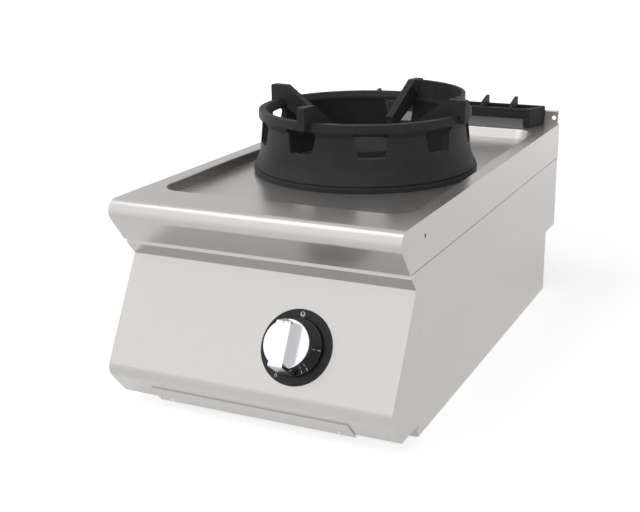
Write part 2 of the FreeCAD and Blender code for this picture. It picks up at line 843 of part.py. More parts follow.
def make_wok_ring():
    """Cast ring: flared wall with eight windows, the band over it and a raised quarter."""
    body = new_body("wok_ring")
    place(body, 0, ring_y, 0)
    top = size.ring_top
    land = size.ring_land
    foot = size.ring_foot
    base = recess_floor + size.lift_gap
    band_low = size.window_high
    wall = new_sketch(body, "XZ_Plane")
    draw(wall, [
        (land - 13.8, band_low + 2),
        (land, band_low + 2),
        (land, band_low),
        (land - 4.6, band_low - 7.5),
        (land + 0.4, base + 24.7, 45),
        (foot - 1.2, base + 9.4, 1.5),
        (foot - 3, base + 8),
        (foot, base + 6.2, 1.2),
        (foot - 1.5, base),
        (foot - 19, base),
    ])
    revolve(body, wall)
    opening = new_sketch(body, "XZ_Plane", turn=window_start)
    half_top, half_foot = size.window_top_width / 2, size.window_foot_width / 2
    draw(opening, [
        (-half_foot, size.window_low, 2),
        (half_foot, size.window_low, 2),
        (half_top, band_low),
        (-half_top, band_low),
    ])
    window = pocket(body, opening, size.ring_foot + 10, forward=True)
    repeat_about_z(body, window, size.window_count, size.window_sweep)
    band = new_sketch(body, "XZ_Plane")
    draw(band, [
        (land - 15.5, band_low),
        (land + 0.2, band_low, 0.8),
        (land, top, 1.2),
        (land - 9.8, top),
        (land - 15.5, band_low + 4),
    ])
    revolve(body, band)
    shield = new_sketch(body, "XZ_Plane", turn=shield_start)
    draw(shield, rectangle(size.shield_inner, top - 9, size.shield_inner + size.shield_wall,
                           size.shield_top, 1.2))
    revolve(body, shield, shield_sweep)
    return body


shield_play = 3.2
shield_start = size.arm_turn - 90 + shield_play
shield_sweep = 90 - 2 * shield_play
window_start = -89


def make_wok_arm(label, turn):
    """One cast arm: hooked over the ring's land, sloping in and down to carry the wok."""
    body = new_body(label)
    place(body, 0, ring_y, 0)
    top = size.ring_top
    shelf = size.shield_top - 0.7
    land = size.ring_land
    tip = size.arm_reach
    profile = new_sketch(body, "XZ_Plane", turn=turn)
    draw(profile, [
        (land + 10.2, shelf, 3),
        (tip + 69, shelf, 3),
        (tip, shelf - 46.9, 3),
        (tip, top - 46.8, 3),
        (tip + 63, top - 15.8, 4),
        (land - 10.8, top),
        (land + 1.7, top),
        (land + 1.7, top - 10.8),
        (land + 10.2, top - 10.8, 2),
    ])
    pad(body, profile, size.arm_thick, middle=True)
    slope = Vector(69, 46.9, 0).normalize()
    grooves = new_sketch(body, "XZ_Plane", turn=turn)
    for down in (9, 19, 29):
        low_r, low_z = tip + 69 - slope.x * down, shelf - slope.y * down
        draw(grooves, [
            (low_r - 1.6 * slope.x - 0.9 * slope.y, low_z - 1.6 * slope.y + 0.9 * slope.x),
            (low_r + 0.8 * slope.y, low_z - 0.8 * slope.x),
            (low_r + 1.6 * slope.x - 0.9 * slope.y, low_z + 1.6 * slope.y + 0.9 * slope.x),
        ])
    pocket(body, grooves, size.arm_thick * 2, middle=True)
    return body


# ---------------------------------------------------------------- knob and valve


def tilted_body(label):
    """A body whose own Z axis is the knob's axis, with its origin on the control panel."""
    body = new_body(label)
    place(body, size.knob_across, knob_y, knob_z, knob_tilt)
    return body


def make_bezel():
    """Thin disc round the knob."""
    body = tilted_body("bezel")
    disc = new_sketch(body, "XY_Plane")
    draw_circle(disc, 0, 0, size.bezel_radius)
    draw_circle(disc, 0, 0, size.spindle_radius * 2)
    pad(body, disc, size.bezel_thick)
    return body


knob_back = size.bezel_thick + size.push_travel + size.lift_gap


def make_knob_skirt():
    """Black ring behind the knob."""
    body = tilted_body("knob_skirt")
    profile = new_sketch(body, "XZ_Plane")
    draw(profile, [
        (size.spindle_radius + size.shaft_clearance, knob_back),
        (size.skirt_radius, knob_back, 0.8),
        (size.skirt_radius - 1, size.knob_hub, 0.8),
        (size.spindle_radius + size.shaft_clearance, size.knob_hub),
    ])
    revolve(body, profile)
    return body


def make_knob_cap():
    """Round body with a grip bar across it, arrow-headed above and slanted below."""
    body = tilted_body("knob_cap")
    profile = new_sketch(body, "XZ_Plane")
    draw(profile, [
        (0, size.knob_hub),
        (size.knob_radius, size.knob_hub),
        (size.knob_radius, size.knob_face, 1),
        (0, size.knob_face),
    ])
    revolve(body, profile)
    half = size.grip_width / 2
    tip = size.grip_up
    facet = 4.0
    prism(body, "YZ_Plane", [
        (-size.grip_heel, size.knob_hub + facet, 1.5),
        (tip, size.knob_hub + facet, 1),
        (tip, size.grip_face - facet),
        (tip - facet, size.grip_face),
        (-size.grip_down, size.grip_face, 1.5),
    ], size.grip_width, middle=True)
    for side in (-1, 1):
        cutout(body, "XY_Plane", [
            (side * (half + 2), tip - facet),
            (0, tip + 0.1),
            (side * (half + 2), tip + 5.5),
        ], size.grip_face + 1 - size.knob_face, size.grip_face + 1)
    rib_reach, rib_width, rib_height = 25.5, 3.4, 1.8
    rib = prism(body, "XY_Plane", rectangle(half, -rib_reach, half + rib_width, rib_reach),
                rib_height, size.knob_face)
    mirror(body, rib, "YZ_Plane")
    bore(body, "XY_Plane", 0, 0, size.spindle_radius, size.spindle_up - size.knob_hub, size.knob_hub,
         forward=True)
    return body


def make_valve_spindle():
    """Stem that joins the knob to the tap."""
    body = tilted_body("valve_spindle")
    stem = new_sketch(body, "XY_Plane", -size.spindle_depth)
    draw_circle(stem, 0, 0, size.spindle_radius)
    pad(body, stem, size.spindle_depth + size.spindle_up)
    return body


def make_valve_plunger():
    """Pin that the stem pushes inwards to open the flame-failure valve."""
    body = tilted_body("valve_plunger")
    pin = new_sketch(body, "XY_Plane", -2 * size.spindle_depth)
    draw_circle(pin, 0, 0, size.spindle_radius * 0.8)
    pad(body, pin, size.spindle_depth)
    return body


def make_gas_valve():
    """The tap: a turned body with a flat-sided block, bored for the stem."""
    body = tilted_body("gas_valve")
    half, reach = size.valve_width / 2, size.valve_height / 2
    prism(body, "XY_Plane", rectangle(-half, -reach, half, reach, 4),
          size.valve_back - size.valve_front, -size.valve_back)
    can = new_sketch(body, "XZ_Plane")
    draw(can, rectangle(0, -size.magnet_back, size.magnet_radius, 1 - size.valve_back))
    revolve(body, can)
    neck = new_sketch(body, "XY_Plane", -size.valve_front - half_sheet)
    draw_circle(neck, 0, 0, size.neck_radius)
    pad(body, neck, size.valve_front - size.sheet)
    stem_room = size.spindle_depth + size.push_travel + size.lift_gap
    pin_room = size.spindle_depth * 2 + size.push_travel + size.lift_gap
    bore(body, "XY_Plane", 0, 0, size.spindle_radius + size.shaft_clearance, stem_room)
    bore(body, "XY_Plane", 0, 0, size.spindle_radius * 0.8 + size.shaft_clearance, pin_room)
    return body


def make_valve_bracket():
    """Plate behind the control panel that carries the tap."""
    body = tilted_body("valve_bracket")
    plate = new_sketch(body, "XY_Plane", -size.sheet * 2)
    draw(plate, rectangle(-size.bracket_half_width, -size.bracket_half_height,
                          size.bracket_half_width, size.bracket_half_height, 5))
    draw_circle(plate, 0, 0, size.neck_radius + size.shaft_clearance)
    pad(body, plate, size.sheet)
    return body


# ---------------------------------------------------------------- burner and gas lines


def turned_burner(label, corners):
    body = new_body(label)
    place(body, 0, ring_y, 0)
    profile = new_sketch(body, "XZ_Plane")
    draw(profile, corners)
    revolve(body, profile)
    return body


tube_outer = size.tube_radius + size.tube_wall
bowl_low = size.bowl_low
bowl_high = size.burner_top - size.crown
bracket_top = size.bracket_top
pilot_circle = size.burner_radius + size.pilot_out
pilot_low = bowl_high - 30


def make_burner():
    """Mixing tube, bowl, head with ports and lift-off cap."""
    turned_burner("mixing_tube", [
        (size.tube_radius + size.tube_flare, size.tube_mouth),
        (tube_outer + size.tube_flare, size.tube_mouth),
        (tube_outer, size.tube_mouth + 26, 20),
        (tube_outer, bracket_top),
        (tube_outer + 7, bracket_top),
        (tube_outer + 7, bracket_top + 4),
        (tube_outer, bracket_top + 4),
        (tube_outer, bowl_low),
        (size.tube_radius, bowl_low),
        (size.tube_radius, size.tube_mouth + 26, 20),
    ])
    turned_burner("burner_body", [
        (size.tube_radius, bowl_low),
        (tube_outer + 8, bowl_low),
        (tube_outer + 8, bowl_low + 20, 8),
        (size.burner_radius, bowl_low + 45, 10),
        (size.burner_radius, bowl_high),
        (size.burner_radius - 4, bowl_high),
        (size.burner_radius - 4, bowl_low + 48, 8),
        (size.tube_radius + 4, bowl_low + 24, 8),
    ])
    head = turned_burner("burner_head", [
        (size.burner_radius - 20, bowl_high),
        (size.burner_radius + 4, bowl_high, 2),
        (size.burner_radius - 2, bowl_high + 20, 2),
        (size.burner_radius - 10, bowl_high + 20),
        (size.burner_radius - 16, bowl_high + 5),
    ])
    port = new_sketch(head, "XZ_Plane")
    draw(port, rectangle(-1.2, bowl_high + 9, 1.2, bowl_high + 15))
    cut = pocket(head, port, size.burner_radius + 8, forward=True)
    repeat_about_z(head, cut, size.port_count)
    cap_low = bowl_high + 20 + size.lift_gap
    turned_burner("burner_cap", [
        (0, cap_low),
        (size.burner_radius, cap_low, 1),
        (size.burner_radius - 6, size.burner_top, 3),
        (0, size.burner_top + 3),
    ])


def make_burner_tray():
    """Spill ring round the burner, hooked over the edge of the hole in the recess."""
    rim = size.burner_hole
    turned_burner("burner_tray", [
        (rim + 12, recess_floor),
        (rim + 12, recess_floor + 1.2),
        (rim + 2, recess_floor + 6),
        (size.burner_radius + 22, recess_floor + 2),
        (size.burner_radius + 22, recess_floor + 0.8),
        (rim + 2, recess_floor + 4.8),
        (rim + 9, recess_floor),
    ])


def make_burner_bracket():
    """Channel across the unit that carries the burner."""
    body = new_body("burner_bracket")
    top = bracket_top
    half_depth = size.bracket_half_depth
    wall = size.sheet
    prism(body, "YZ_Plane", [
        (ring_y - half_depth, top - 20),
        (ring_y - half_depth + wall, top - 20),
        (ring_y - half_depth + wall, top - wall),
        (ring_y + half_depth - wall, top - wall),
        (ring_y + half_depth - wall, top - 20),
        (ring_y + half_depth, top - 20),
        (ring_y + half_depth, top),
        (ring_y - half_depth, top),
    ], 2 * inner_half, middle=True)
    bore(body, "XY_Plane", 0, ring_y, tube_outer + 1, 3 * wall, top + wall)
    return body


def make_injector_set():
    """Air shutter, gas jet, the block that holds the jet and its foot on the base."""
    jet = size.jet_radius
    mouth = size.tube_mouth
    shutter = turned_burner("air_shutter", [
        (jet + size.shaft_clearance, mouth - 4),
        (tube_outer + size.tube_flare, mouth - 4),
        (tube_outer + size.tube_flare, mouth),
        (size.tube_radius + size.tube_flare + 1, mouth),
        (size.tube_radius + size.tube_flare, mouth - 2.5),
        (jet + size.shaft_clearance, mouth - 2.5),
    ])
    opening = new_sketch(shutter, "XY_Plane", mouth - 5)
    draw(opening, rectangle(9, -7, 20, 7, 3))
    cut = pocket(shutter, opening, 6, forward=True)
    repeat_about_z(shutter, cut, 4)
    top = size.holder_high
    turned_burner("injector", [(0, top), (jet, top), (jet, top + 8), (jet / 2, top + 14), (0, top + 14)])
    half = size.holder_half
    holder = new_body("injector_holder")
    place(holder, 0, ring_y, 0)
    prism(holder, "XY_Plane", rectangle(-half, -half, half, half, 2), top - size.holder_low,
          size.holder_low)
    foot = new_body("holder_bracket")
    place(foot, 0, ring_y, 0)
    wall = size.sheet
    prism(foot, "YZ_Plane", [
        (half, wall),
        (3 * half, wall),
        (3 * half, 2 * wall),
        (half + wall, 2 * wall),
        (half + wall, top),
        (half, top),
    ], 2 * half, middle=True)


def make_pilot_set():
    """Clamp round the burner, with the pilot jet and the flame probe in its ear."""
    low = pilot_low
    apart = size.pilot_apart / 2
    clamp = turned_burner("pilot_bracket", rectangle(
        size.burner_radius + size.shaft_clearance, low, size.burner_radius + 2, low + 8))
    ear = new_sketch(clamp, "XY_Plane", low)
    draw(ear, rectangle(size.burner_radius + 1, -15, pilot_circle + 7, 15, 2))
    draw_circle(ear, pilot_circle, -apart, 4)
    draw_circle(ear, pilot_circle, apart, 2.5)
    pad(clamp, ear, 2)
    make_pilot_stem("pilot_burner", -apart, 4, bowl_high + 14)
    make_pilot_stem("thermocouple", apart, 2.5, bowl_high + 18)


def make_pilot_stem(label, across, radius, high):
    """Rod with a collar that rests on the clamp's ear."""
    body = new_body(label)
    place(body, 0, ring_y, 0)
    rod = new_sketch(body, "XY_Plane", pilot_low - 14)
    draw_circle(rod, pilot_circle, across, radius - size.shaft_clearance)
    pad(body, rod, high - pilot_low + 14)
    collar = new_sketch(body, "XY_Plane", pilot_low + 2)
    draw_circle(collar, pilot_circle, across, radius + 1.2)
    pad(body, collar, 4)


def bent_path(points, bend):
    """A path of straight runs, joined at each inner point by an arc of one radius."""
    edges = []
    start = points[0]
    for before, corner, after in zip(points, points[1:], points[2:]):
        back = (before - corner).normalize()
        on = (after - corner).normalize()
        half = back.getAngle(on) / 2
        reach = bend / math.tan(half)
        first = corner + back * reach
        last = corner + on * reach
        centre = corner + (back + on).normalize() * (bend / math.sin(half))
        middle = centre + (corner - centre).normalize() * bend
        edges.append(Part.LineSegment(start, first).toShape())
        edges.append(Part.Arc(first, middle, last).toShape())
        start = last
    edges.append(Part.LineSegment(start, points[-1]).toShape())
    return Part.Wire(edges)


def make_pipe(label, points, radius, bend):
    """Solid gas line along a bent path."""
    corners = [Vector(*[as_size(c).value for c in point]) for point in points]
    path = bent_path(corners, bend)
    along = corners[1] - corners[0]
    ring = Part.Wire(Part.makeCircle(radius, corners[0], along))
    solid = path.makePipeShell([ring], True, False)
    pipe = doc.addObject("Part::Feature", label)
    pipe.Label = label
    pipe.Shape = solid
    return pipe


def knob_frame(x, up, out):
    """A point given from the knob's axis: across, up the panel and out of it."""
    lean = size.fascia_lean
    return (
        size.knob_across + x,
        knob_y + up * sine(lean) - out * cosine(lean),
        knob_z + up * cosine(lean) + out * sine(lean),
    )


inlet_nut = 8


def make_gas_inlet():
    """Threaded stub held in the back panel by a nut on each side."""
    body = new_body("gas_inlet")
    place(body, inlet_x, notch_y + size.sheet, size.inlet_rise, -90)
    nut = size.inlet_radius + 4.5
    neck = size.inlet_radius + 1 - size.shaft_clearance
    profile = new_sketch(body, "XZ_Plane")
    draw(profile, [
        (0, -inlet_nut - size.sheet),
        (nut, -inlet_nut - size.sheet, 1),
        (nut, -size.sheet),
        (neck, -size.sheet),
        (neck, 0),
        (nut, 0),
        (nut, 6, 1),
        (size.inlet_radius, 6),
        (size.inlet_radius, size.inlet_length, 1),
        (0, size.inlet_length),
    ])
    revolve(body, profile)


def make_gas_lines():
    """Supply from the back to the tap, from the tap to the jet and the pilot, and the probe's lead."""
    middle_of_tap = -(size.valve_front + size.valve_back) / 2
    tap_side = knob_frame(size.valve_width / 2, 0, middle_of_tap)
    make_pipe("inlet_pipe", [
        (inlet_x, notch_y - inlet_nut, size.inlet_rise),
        (inlet_x, tap_side[1], size.inlet_rise),
        (inlet_x, tap_side[1], tap_side[2]),
        tap_side,
    ], size.supply_radius.value, 18)
    reach = size.valve_height / 2
    below = knob_frame(0, -reach - 28, middle_of_tap)
    jet_z = (size.holder_low + size.holder_high) / 2
    make_pipe("burner_pipe", [
        knob_frame(0, -reach, middle_of_tap),
        below,
        (0, below[1] + 60, jet_z),
        (0, ring_y - size.holder_half, jet_z),
    ], size.pipe_radius.value, 18)
    stem_foot = pilot_low - 14
    pilot_y = ring_y - size.pilot_apart / 2
    make_pipe("pilot_pipe", [
        knob_frame(0, reach, middle_of_tap),
        knob_frame(0, reach + 24, middle_of_tap),
        (pilot_circle, ring_y - 120, size.pilot_run),
        (pilot_circle, pilot_y, size.pilot_run),
        (pilot_circle, pilot_y, stem_foot),
    ], size.pilot_pipe_radius.value, 8)
    probe_y = ring_y + size.pilot_apart / 2
    lead_z = size.pilot_run - 10
    make_pipe("probe_lead", [
        knob_frame(6, 0, -size.magnet_back),
        knob_frame(6, 0, -size.magnet_back - 25),
        (pilot_circle + 18, ring_y - 70, lead_z),
        (pilot_circle, probe_y, lead_z),
        (pilot_circle, probe_y, stem_foot),
    ], size.probe_lead_radius.value, 8)


PIECES = [
    make_worktop,
    lambda: make_side_panel("side_panel_left", -1),
    lambda: make_side_panel("side_panel_right", 1),
    make_base_plate,
    make_back_panel,
    lambda: make_rail("front_rail", carcass_front_y + size.sheet),
    lambda: make_rail("rear_rail", rear_y - size.recess_rear + 2 * size.sheet),
    lambda: make_fascia_hole(make_fascia()),
    make_lower_cover,
    make_cover_screws,
    make_back_screws,
    make_rear_upstand,
    make_flue_duct,
    make_flue_grate,
    make_wok_ring,
    lambda: make_wok_arm("wok_arm_right", size.arm_turn - 90),
    lambda: make_wok_arm("wok_arm_rear", size.arm_turn),
    lambda: make_wok_arm("wok_arm_left", size.arm_turn + 90),
    lambda: make_wok_arm("wok_arm_front", size.arm_turn + 180),
    make_bezel,
    make_knob_skirt,
    make_knob_cap,
    make_valve_spindle,
    make_valve_plunger,
    make_gas_valve,
    make_valve_bracket,
    make_burner,
    make_burner_tray,
    make_burner_bracket,
    make_injector_set,
    make_pilot_set,
    make_gas_inlet,
    make_gas_lines,
]

NODES = [
    "worktop", "side_panel_left", "side_panel_right", "base_plate", "back_panel", "front_rail",
    "rear_rail", "fascia", "lower_cover", "cover_screws", "rear_upstand", "flue_duct", "flue_grate",
    "wok_ring", "wok_arm_right", "wok_arm_rear", "wok_arm_left", "wok_arm_front", "bezel",
    "knob_skirt", "knob_cap", "valve_spindle", "valve_plunger", "gas_valve", "valve_bracket",
    "mixing_tube", "burner_body", "burner_head", "burner_cap", "burner_tray", "burner_bracket",
    "air_shutter", "injector", "injector_holder", "holder_bracket", "pilot_bracket", "pilot_burner",
    "thermocouple", "gas_inlet", "inlet_pipe", "burner_pipe", "pilot_pipe", "probe_lead", "back_screws",
]


def check_and_write():
    """Stop on anything that failed to compute, then write one file for each piece."""
    doc.recompute()
    for thing in doc.Objects:
        if "Invalid" in thing.State or "Error" in thing.State:
            raise RuntimeError(f"{thing.Label} did not compute")
    os.makedirs("parts", exist_ok=True)
    for label in NODES:
        shape = doc.getObjectsByLabel(label)[0].Shape
        if shape.isNull() or not shape.isValid():
            raise RuntimeError(f"{label} has no valid shape")
        shape.exportStep(f"parts/{label}.step")


for make_piece in PIECES:
    make_piece()
check_and_write()
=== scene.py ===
import json
import math

import bpy
import numpy as np
from mathutils import Matrix, Vector


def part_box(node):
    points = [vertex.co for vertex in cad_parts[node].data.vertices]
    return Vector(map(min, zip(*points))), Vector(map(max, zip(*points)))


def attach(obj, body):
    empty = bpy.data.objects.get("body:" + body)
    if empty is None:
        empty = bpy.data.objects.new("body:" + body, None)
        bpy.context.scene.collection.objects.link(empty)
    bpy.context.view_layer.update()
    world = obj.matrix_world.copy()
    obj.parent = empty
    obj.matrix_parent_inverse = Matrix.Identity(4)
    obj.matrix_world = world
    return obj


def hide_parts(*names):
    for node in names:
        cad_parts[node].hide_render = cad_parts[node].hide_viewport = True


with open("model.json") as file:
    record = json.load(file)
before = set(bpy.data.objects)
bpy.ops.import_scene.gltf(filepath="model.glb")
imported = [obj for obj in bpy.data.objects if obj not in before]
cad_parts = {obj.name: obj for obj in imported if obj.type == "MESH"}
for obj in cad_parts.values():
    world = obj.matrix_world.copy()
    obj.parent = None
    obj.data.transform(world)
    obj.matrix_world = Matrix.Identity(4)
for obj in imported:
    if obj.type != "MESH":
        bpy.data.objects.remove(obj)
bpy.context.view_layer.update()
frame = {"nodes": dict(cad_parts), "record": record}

bl_info = {
    "name": "Wok range looks",
    "version": (1, 0, 0),
    "blender": (4, 5, 0),
    "location": "View3D > Sidebar > Wok range",
    "description": "Steel, iron, knob marks, screw heads and a studio for the wok range",
    "category": "Object",
}

# Places read from the frame
HINGE = next(j for j in frame["record"]["behaviour"]["joints"] if j["name"] == "knob_turn")
KNOB_POINT = np.array(HINGE["pos_m"])
KNOB_OUT = np.array(HINGE["axis"]) / np.linalg.norm(HINGE["axis"])
KNOB_RIGHT = np.array((1.0, 0.0, 0.0))
KNOB_UP = np.cross(KNOB_OUT, KNOB_RIGHT)
COVER_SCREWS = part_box("cover_screws")
BACK_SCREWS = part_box("back_screws")
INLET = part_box("gas_inlet")
SEAM = 0.0009  # gap between a side skirt and the panel below it
SEAM_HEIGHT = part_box("side_panel_right")[1][2] + SEAM / 2

# Heights over the control panel, along the knob's axis
BEZEL_FACE = 0.001
RIM_FACE = 0.007
GRIP_FACE = 0.048
INK = 0.00004  # how far a print stands over its ground

# Screw heads and the slope of the panel's underside, from the level
COVER_HEAD = 0.0028
BACK_HEAD = 0.0032
UNDERSIDE_SLOPE = math.radians(50.0)


# ---------------------------------------------------------------- settings


class WokCameraSettings(bpy.types.PropertyGroup):
    """The photograph's camera."""

    azimuth: bpy.props.FloatProperty(
        name="Azimuth", description="Turn of the view about Z, from the front",
        default=math.radians(23.9414), subtype="ANGLE")
    elevation: bpy.props.FloatProperty(
        name="Elevation", description="Height of the view over the level",
        default=math.radians(18.6322), subtype="ANGLE")
    roll: bpy.props.FloatProperty(
        name="Roll", description="Turn of the picture about the view",
        default=math.radians(-0.4083), subtype="ANGLE")
    place: bpy.props.FloatVectorProperty(
        name="Place", description="Where the camera stands",
        default=(0.6194, -1.4199, 0.6132), subtype="TRANSLATION", unit="LENGTH")
    lens: bpy.props.FloatProperty(
        name="Lens", description="Focal length on a 36 mm sensor, in millimetres", default=59.48)
    shift: bpy.props.FloatVectorProperty(
        name="Shift", description="Shift of the picture, in widths", size=2,
        default=(-0.06538, 0.03213))


class WokStudioSettings(bpy.types.PropertyGroup):
    """Floor, surroundings and lamps."""

    floor_color: bpy.props.FloatVectorProperty(
        name="Floor", description="Colour of the floor", subtype="COLOR", default=(0.86, 0.86, 0.86))
    floor_glow: bpy.props.FloatProperty(
        name="Floor glow", description="What the eye sees of the near floor beyond its lamplight",
        default=0.66)
    sky_strength: bpy.props.FloatProperty(
        name="Sky", description="Brightness of the surroundings on matt surfaces", default=0.24)
    key_place: bpy.props.FloatVectorProperty(
        name="Key place", description="Where the large lamp hangs",
        default=(-0.96, -2.24, 2.28), subtype="TRANSLATION", unit="LENGTH")
    key_power: bpy.props.FloatProperty(
        name="Key power", description="Power of the large lamp", default=37.0, unit="POWER")
    fill_place: bpy.props.FloatVectorProperty(
        name="Fill place", description="Where the lamp on the right hangs",
        default=(2.7, -0.9, 1.3), subtype="TRANSLATION", unit="LENGTH")
    fill_power: bpy.props.FloatProperty(
        name="Fill power", description="Power of the lamp on the right", default=3.2, unit="POWER")
    strip_place: bpy.props.FloatVectorProperty(
        name="Strip place", description="Where the lamp that draws the line on the nose hangs",
        default=(-1.0, -0.5, 2.5), subtype="TRANSLATION", unit="LENGTH")
    strip_power: bpy.props.FloatProperty(
        name="Strip power", description="Power of that lamp", default=7.5, unit="POWER")
    card_grey: bpy.props.FloatProperty(
        name="Card grey", description="Brightness of the card that the worktop mirrors", default=0.85)


class WokSteelSettings(bpy.types.PropertyGroup):
    """The satin sheet."""

    color: bpy.props.FloatVectorProperty(
        name="Colour", description="Colour of the bare sheet", subtype="COLOR",
        default=(0.552, 0.533, 0.517))
    metallic: bpy.props.FloatProperty(
        name="Metallic", description="Share of the surface that acts as bare metal", default=0.745)
    roughness: bpy.props.FloatProperty(
        name="Roughness", description="Roughness of the satin finish", default=0.29)
    grain_pitch: bpy.props.FloatProperty(
        name="Grain pitch", description="Width of one brush line", default=0.0005, unit="LENGTH")
    grain_length: bpy.props.FloatProperty(
        name="Grain length", description="Length of one brush line", default=0.012, unit="LENGTH")


class WokIronSettings(bpy.types.PropertyGroup):
    """The castings."""

    color: bpy.props.FloatVectorProperty(
        name="Colour", description="Colour of the coated castings", subtype="COLOR",
        default=(0.042, 0.042, 0.0435))
    roughness: bpy.props.FloatProperty(
        name="Roughness", description="Roughness of the coat", default=0.46)
    grit: bpy.props.FloatProperty(
        name="Grit", description="Size of the casting's grain", default=0.0014, unit="LENGTH")
    edge: bpy.props.FloatProperty(
        name="Edge", description="Rounding of the castings' edges", default=0.0009, unit="LENGTH")


class WokKnobSettings(bpy.types.PropertyGroup):
    """The knob and the marks round it."""

    mark_height: bpy.props.FloatProperty(
        name="Mark height", description="Distance of the off mark from the knob's axis",
        default=0.0415, unit="LENGTH")
    mark_size: bpy.props.FloatProperty(
        name="Mark size", description="Radius of the off mark", default=0.0034, unit="LENGTH")
    flame_turn: bpy.props.FloatProperty(
        name="Flame turn", description="Turn of the flame mark from the off mark, leftwards",
        default=math.radians(152.5), subtype="ANGLE")
    flame_reach: bpy.props.FloatProperty(
        name="Flame reach", description="Distance of the flame mark from the knob's axis",
        default=0.0422, unit="LENGTH")
    mark_color: bpy.props.FloatVectorProperty(
        name="Mark colour", description="Colour of the printed marks", subtype="COLOR",
        default=(0.86, 0.86, 0.86))


def settings(name):
    return getattr(bpy.context.scene, name)


# ---------------------------------------------------------------- shader groups


def new_group(name, inputs, outputs):
    """An empty shader group. Each input is (name, kind, default) and each output (name, kind)."""
    group = bpy.data.node_groups.new(name, "ShaderNodeTree")
    for label, kind, default in inputs:
        socket = group.interface.new_socket(label, in_out="INPUT", socket_type=kind)
        socket.default_value = default
    for label, kind in outputs:
        group.interface.new_socket(label, in_out="OUTPUT", socket_type=kind)
    return group, group.nodes.new("NodeGroupInput"), group.nodes.new("NodeGroupOutput")


def math_node(group, operation, *values):
    node = group.nodes.new("ShaderNodeMath")
    node.operation = operation
    for socket, value in zip(node.inputs, values):
        if isinstance(value, (int, float)):
            socket.default_value = value
        else:
            group.links.new(value, socket)
    return node.outputs[0]


def ranged(group, value, low, high, to_low, to_high):
    """A value carried from one range to another, smoothly, without leaving it."""
    node = group.nodes.new("ShaderNodeMapRange")
    node.interpolation_type = "SMOOTHSTEP"
    group.links.new(value, node.inputs["Value"])
    for label, number in (("From Min", low), ("From Max", high), ("To Min", to_low), ("To Max", to_high)):
        node.inputs[label].default_value = number
    return node.outputs["Result"]


def noise(group, vector, scale, detail=3.0, roughness=0.5):
    node = group.nodes.new("ShaderNodeTexNoise")
    node.inputs["Detail"].default_value = detail
    node.inputs["Roughness"].default_value = roughness
    group.links.new(vector, node.inputs["Vector"])
    if isinstance(scale, (int, float)):
        node.inputs["Scale"].default_value = scale
    else:
        group.links.new(scale, node.inputs["Scale"])
    return node.outputs["Fac"]


def mixed(group, share, first, second):
    """A colour between two colours or sockets."""
    node = group.nodes.new("ShaderNodeMix")
    node.data_type = "RGBA"
    group.links.new(share, node.inputs["Factor"])
    for socket, value in ((node.inputs["A"], first), (node.inputs["B"], second)):
        if isinstance(value, bpy.types.NodeSocket):
            group.links.new(value, socket)
        else:
            socket.default_value = (*value, 1.0)
    return node.outputs["Result"]


def object_place(tree):
    return tree.nodes.new("ShaderNodeTexCoord").outputs["Object"]


def brushed_group():
    """Brush lines: noise drawn out along the grain, over a fine sparkle of the metal's crystals.

    Scale stretches the place, so that the lines run along the axis with the small number. Out come
    a roughness, a height for the lines and a mask of the bright crystals.
    """
    group, given, result = new_group(
        "BrushedLines",
        [("Scale", "NodeSocketVector", (1.0, 1.0, 1.0)), ("Roughness", "NodeSocketFloat", 0.35)],
        [("Roughness", "NodeSocketFloat"), ("Height", "NodeSocketFloat"), ("Sparkle", "NodeSocketFloat")],
    )
    place = object_place(group)
    stretch = group.nodes.new("ShaderNodeVectorMath")
    stretch.operation = "MULTIPLY"
    group.links.new(place, stretch.inputs[0])
    group.links.new(given.outputs["Scale"], stretch.inputs[1])
    lines = noise(group, stretch.outputs[0], 1.0, 4.0, 0.6)
    sheen = noise(group, place, 6.0, 2.0)
    worn = math_node(group, "MULTIPLY_ADD", lines, 0.1, math_node(group, "MULTIPLY", sheen, 0.05))
    offset = math_node(group, "SUBTRACT", worn, 0.075)
    rough = math_node(group, "ADD", offset, given.outputs["Roughness"])
    group.links.new(rough, result.inputs["Roughness"])
    group.links.new(lines, result.inputs["Height"])
    crystals = ranged(group, noise(group, place, 1400.0, 2.0), 0.4, 0.7, 0.0, 1.0)
    group.links.new(crystals, result.inputs["Sparkle"])
    return group


def cast_group():
    """A sand casting's skin: a coarse swell, fine grit, and patches of thicker coat."""
    group, given, result = new_group(
        "CastSkin",
        [("Grit", "NodeSocketFloat", 0.0016)],
        [("Height", "NodeSocketFloat"), ("Patch", "NodeSocketFloat")],
    )
    place = object_place(group)
    fine = noise(group, place, math_node(group, "DIVIDE", 1.0, given.outputs["Grit"]), 4.0)
    coarse = noise(group, place, 55.0, 3.0, 0.55)
    height = math_node(group, "MULTIPLY_ADD", coarse, 0.6, fine)
    group.links.new(height, result.inputs["Height"])
    patch = ranged(group, noise(group, place, 14.0, 4.0, 0.6), 0.35, 0.7, 0.0, 1.0)
    group.links.new(patch, result.inputs["Patch"])
    return group


# ---------------------------------------------------------------- materials


def new_material(name):
    """A material with its Principled shader."""
    material = bpy.data.materials.new(name)
    material.use_nodes = True
    return material, material.node_tree, material.node_tree.nodes["Principled BSDF"]


def place_group(tree, name, **values):
    """A shader group placed in a material, with its own values."""
    node = tree.nodes.new("ShaderNodeGroup")
    node.node_tree = bpy.data.node_groups[name]
    for label, value in values.items():
        node.inputs[label].default_value = value
    return node.outputs


def add_bump(tree, shader, height, strength, distance):
    bump = tree.nodes.new("ShaderNodeBump")
    bump.inputs["Strength"].default_value = strength
    bump.inputs["Distance"].default_value = distance
    tree.links.new(height, bump.inputs["Height"])
    tree.links.new(bump.outputs["Normal"], shader.inputs["Normal"])


def shaded(color, share):
    return tuple(channel * share for channel in color)


